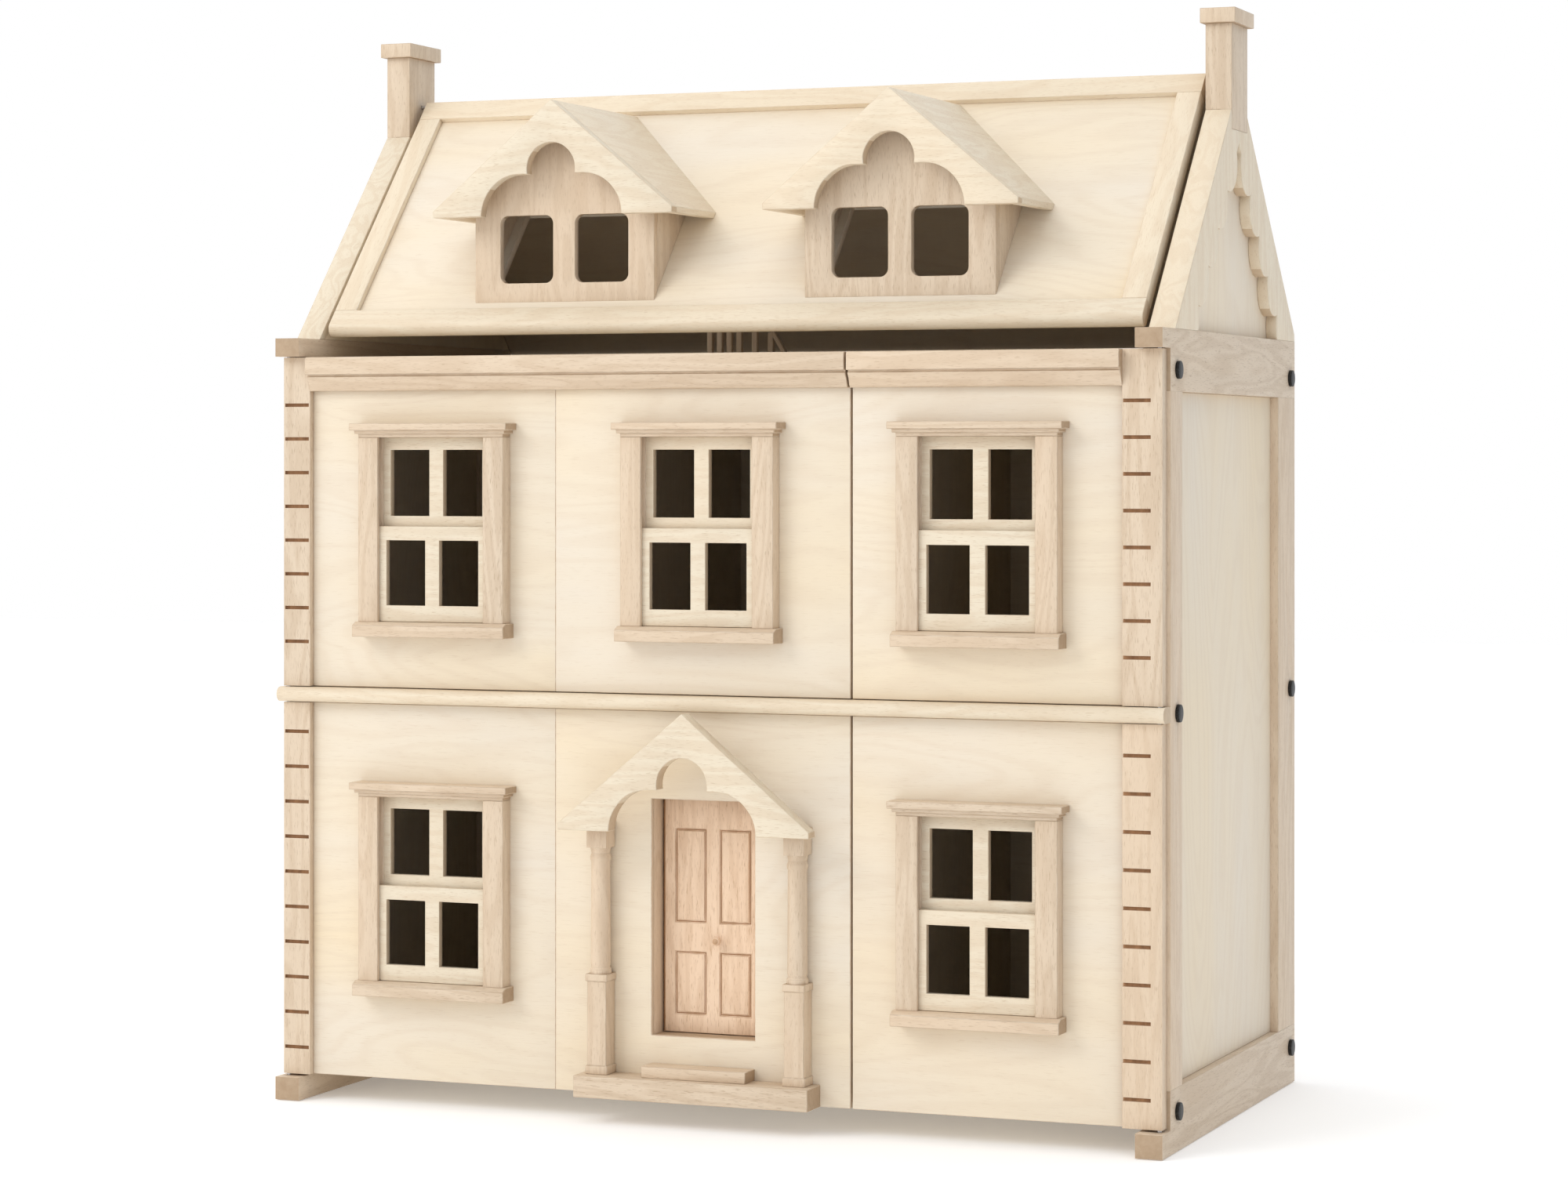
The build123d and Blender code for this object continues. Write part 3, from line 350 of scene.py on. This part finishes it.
def timber(name, faces, node, slope, grain, edge):
    """Builds one piece with eased edges and its grain, tint and ply-layer attributes."""
    slot = slot_of_node[node]
    shape = bmesh.new()
    for corners in faces:
        shape.faces.new([shape.verts.new(corner) for corner in corners])
    bmesh.ops.remove_doubles(shape, verts=shape.verts, dist=WELD_DISTANCE)
    bmesh.ops.dissolve_degenerate(shape, edges=shape.edges, dist=SLIVER_LENGTH)
    bmesh.ops.dissolve_limit(shape, angle_limit=FLAT_ANGLE, verts=shape.verts, edges=shape.edges)
    bmesh.ops.recalc_face_normals(shape, faces=shape.faces)
    low = Vector(min(vertex.co[i] for vertex in shape.verts) for i in range(3))
    high = Vector(max(vertex.co[i] for vertex in shape.verts) for i in range(3))
    along, across, through = grain_axes(low, high, slope, grain)
    for face in shape.faces:
        face.smooth = True
        if slot == "plywood":
            is_face = abs(face.normal.dot(through)) > FACE_COSINE
        else:
            is_face = abs(face.normal.dot(along)) <= END_COSINE
        face.material_index = FACE if is_face else CUT_END
        # groove floors and sides get the scorch colour darkened with painted shade
        if in_scorched_shaded_groove(face, node, low):
            face.material_index = GROOVE
    sharp = [line for line in shape.edges
             if len(line.link_faces) == 2 and line.calc_face_angle(0) > SHARP_ANGLE]
    bmesh.ops.bevel(shape, geom=sharp, offset=edge, segments=2, profile=0.5, affect="EDGES",
                    clamp_overlap=True, material=EASED)
    bmesh.ops.triangulate(shape, faces=[face for face in shape.faces if len(face.verts) > 4])
    mesh = bpy.data.meshes.new(name)
    shape.to_mesh(mesh)
    shape.free()
    mesh.set_sharp_from_angle(angle=SMOOTH_ANGLE)
    piece = bpy.data.objects.new(name, mesh)
    bpy.context.scene.collection.objects.link(piece)

    chance = random.Random(name)
    shift = [chance.uniform(-FIGURE_SHIFT, FIGURE_SHIFT) for _ in range(3)]
    grain_values = []
    layers = []
    thickness = max(abs((high - low).dot(through)), THINNEST)
    for vertex in mesh.vertices:
        place = vertex.co - low
        grain_values += [vertex.co.dot(along) + shift[0], vertex.co.dot(across) + shift[1],
                         vertex.co.dot(through) + shift[2]]
        layers.append(abs(place.dot(through)) / thickness)
    mesh.attributes.new("grain", "FLOAT_VECTOR", "POINT").data.foreach_set("vector", grain_values)
    set_floats(mesh, "layer", layers)
    set_floats(mesh, "tint", [chance.random()] * len(mesh.vertices))

    for material in woods.get(wood_of(node, slot)) or [metals[slot]] * 3:
        mesh.materials.append(material)
    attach(piece, body_of_node[node])
    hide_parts(node)


body_of_node = {node: body for body, names in frame["record"]["behaviour"]["bodies"].items()
                for node in names}

# Pieces that lie in a roof slope, and the grain where the longest side doesn't give it.
SLOPED = {"roof_field": PITCH, "rear_roof_panel": -PITCH, "roof_frame": PITCH}
GRAIN = {"front_door": "Z", "partitions": "Z", "porch_columns": "Z", "back_panel": "X",
         "first_floor": "X"}
for side in ("left", "right"):
    GRAIN[side + "_gable_panel"] = GRAIN[side + "_chimney"] = GRAIN[side + "_rake_boards"] = "Z"
    GRAIN[side + "_dormer_roof"] = "Y"
for place in ("upper", "lower"):
    GRAIN[place + "_left_door_panels"] = GRAIN[place + "_right_door_panel"] = "X"
RAILS = 2                     # the roof frame's rails come before its stiles
FINE = ("sash", "pins", "knob", "balustrade", "bolts")
PALE = ("sash", "roof_frame", "rake_boards", "dormer_roof", "bargeboard", "porch_gable",
        "first_floor")

for node, cad in frame["nodes"].items():
    solids = split_solids(cad.data)
    fine = any(word in node for word in FINE)
    for index, faces in enumerate(solids):
        grain = GRAIN.get(node)
        if node == "roof_frame" and index >= RAILS:
            grain = "Y"
        if node.endswith("dormer_walls") and index == 0:
            grain = "Z"
        label = node + "_timber" if len(solids) == 1 else f"{node}_timber_{index + 1}"
        timber(label, faces, node, SLOPED.get(node), grain, SMALL_EDGE if fine else EASED_EDGE)


# ---- Studio -------------------------------------------------------------------------------
FLOOR_SIZE, FLOOR_DROP = 14, 0.0005
FLOOR_TONES = ((0.93, 0.93, 0.93), (0.95, 0.95, 0.95))
FLOOR_GLOW = 0.16             # emission, which lightens the paper and the shadows on it
WHITE, RIGHT_SHADE = (1.0, 1.0, 1.0, 1.0), (0.50, 0.55, 0.62, 1.0)
SHADE_START, SHADE_END = 0.15, 0.80                 # X of the directions where it starts and is full
SOFTBOX_TARGET = (0, 0, 0.35)
SOFTBOXES = {                 # place, size, watts, colour
    "key": ((-2.2, -3.0, 2.8), (2.2, 2.0), 50, (1.0, 0.99, 0.975)),
    "fill": ((2.6, -2.2, 1.5), (2.2, 2.2), 4, (0.95, 0.98, 1.0)),
    "top": ((0.3, 0.4, 3.2), (3.0, 3.0), 14, (1.0, 1.0, 1.0)),
}
EYE = (1.039, -2.6185, 0.460)
LOOK = Vector((-0.3693, 0.9293))
LENS, SENSOR_WIDTH, LENS_SHIFT, FAR_CLIP = 89.14, 36.0, -0.0835, 50


def studio_floor():
    bpy.ops.mesh.primitive_plane_add(size=FLOOR_SIZE, location=(0, 0, -FLOOR_DROP))
    floor = bpy.context.object
    floor.name = "studio_floor"
    nodes = Nodes("studio_paper")
    paper = nodes.noise(nodes.add("TexCoord").outputs["Object"], 40.0, 3.0)
    colour = nodes.blend(paper, *FLOOR_TONES)
    nodes.link(colour, nodes.shader.inputs["Base Color"])
    nodes.shader.inputs["Roughness"].default_value = 0.9
    nodes.shader.inputs["Emission Color"].default_value = WHITE
    nodes.shader.inputs["Emission Strength"].default_value = FLOOR_GLOW
    floor.data.materials.append(nodes.material)


def softbox(name, place, size, power, colour):
    light = bpy.data.lights.new(name, "AREA")
    light.shape = "RECTANGLE"
    light.size, light.size_y = size
    light.energy = power
    light.color = colour
    lamp = bpy.data.objects.new(name, light)
    lamp.location = place
    lamp.rotation_euler = (Vector(SOFTBOX_TARGET) - Vector(place)).to_track_quat("-Z", "Y").to_euler()
    bpy.context.scene.collection.objects.link(lamp)


def shade_right_side(tree):
    """White surroundings that fall to a cooler grey on the house's right."""
    direction = tree.nodes.new("ShaderNodeSeparateXYZ")
    tree.links.new(tree.nodes.new("ShaderNodeTexCoord").outputs["Generated"], direction.inputs[0])
    ramp = tree.nodes.new("ShaderNodeValToRGB")
    start, end = ramp.color_ramp.elements
    start.position, start.color = SHADE_START, WHITE
    end.position, end.color = SHADE_END, RIGHT_SHADE
    tree.links.new(direction.outputs["X"], ramp.inputs["Fac"])
    tree.links.new(ramp.outputs["Color"], tree.nodes["Background"].inputs["Color"])


def studio():
    studio_floor()
    for name, values in SOFTBOXES.items():
        softbox(name, *values)
    world = bpy.data.worlds.new("studio")
    world.use_nodes = True
    shade_right_side(world.node_tree)
    bpy.context.scene.world = world
    bpy.context.scene.view_settings.view_transform = "Standard"


def camera():
    """Eye above the belt course, turned to show the right end wall, lens kept level."""
    data = bpy.data.cameras.new("camera")
    data.lens = LENS
    data.sensor_width = SENSOR_WIDTH
    data.shift_y = LENS_SHIFT
    data.clip_end = FAR_CLIP
    eye = bpy.data.objects.new("camera", data)
    eye.location = EYE
    eye.rotation_euler = (pi / 2, 0, atan2(-LOOK.x, LOOK.y))
    bpy.context.scene.collection.objects.link(eye)
    bpy.context.scene.camera = eye


studio()
camera()
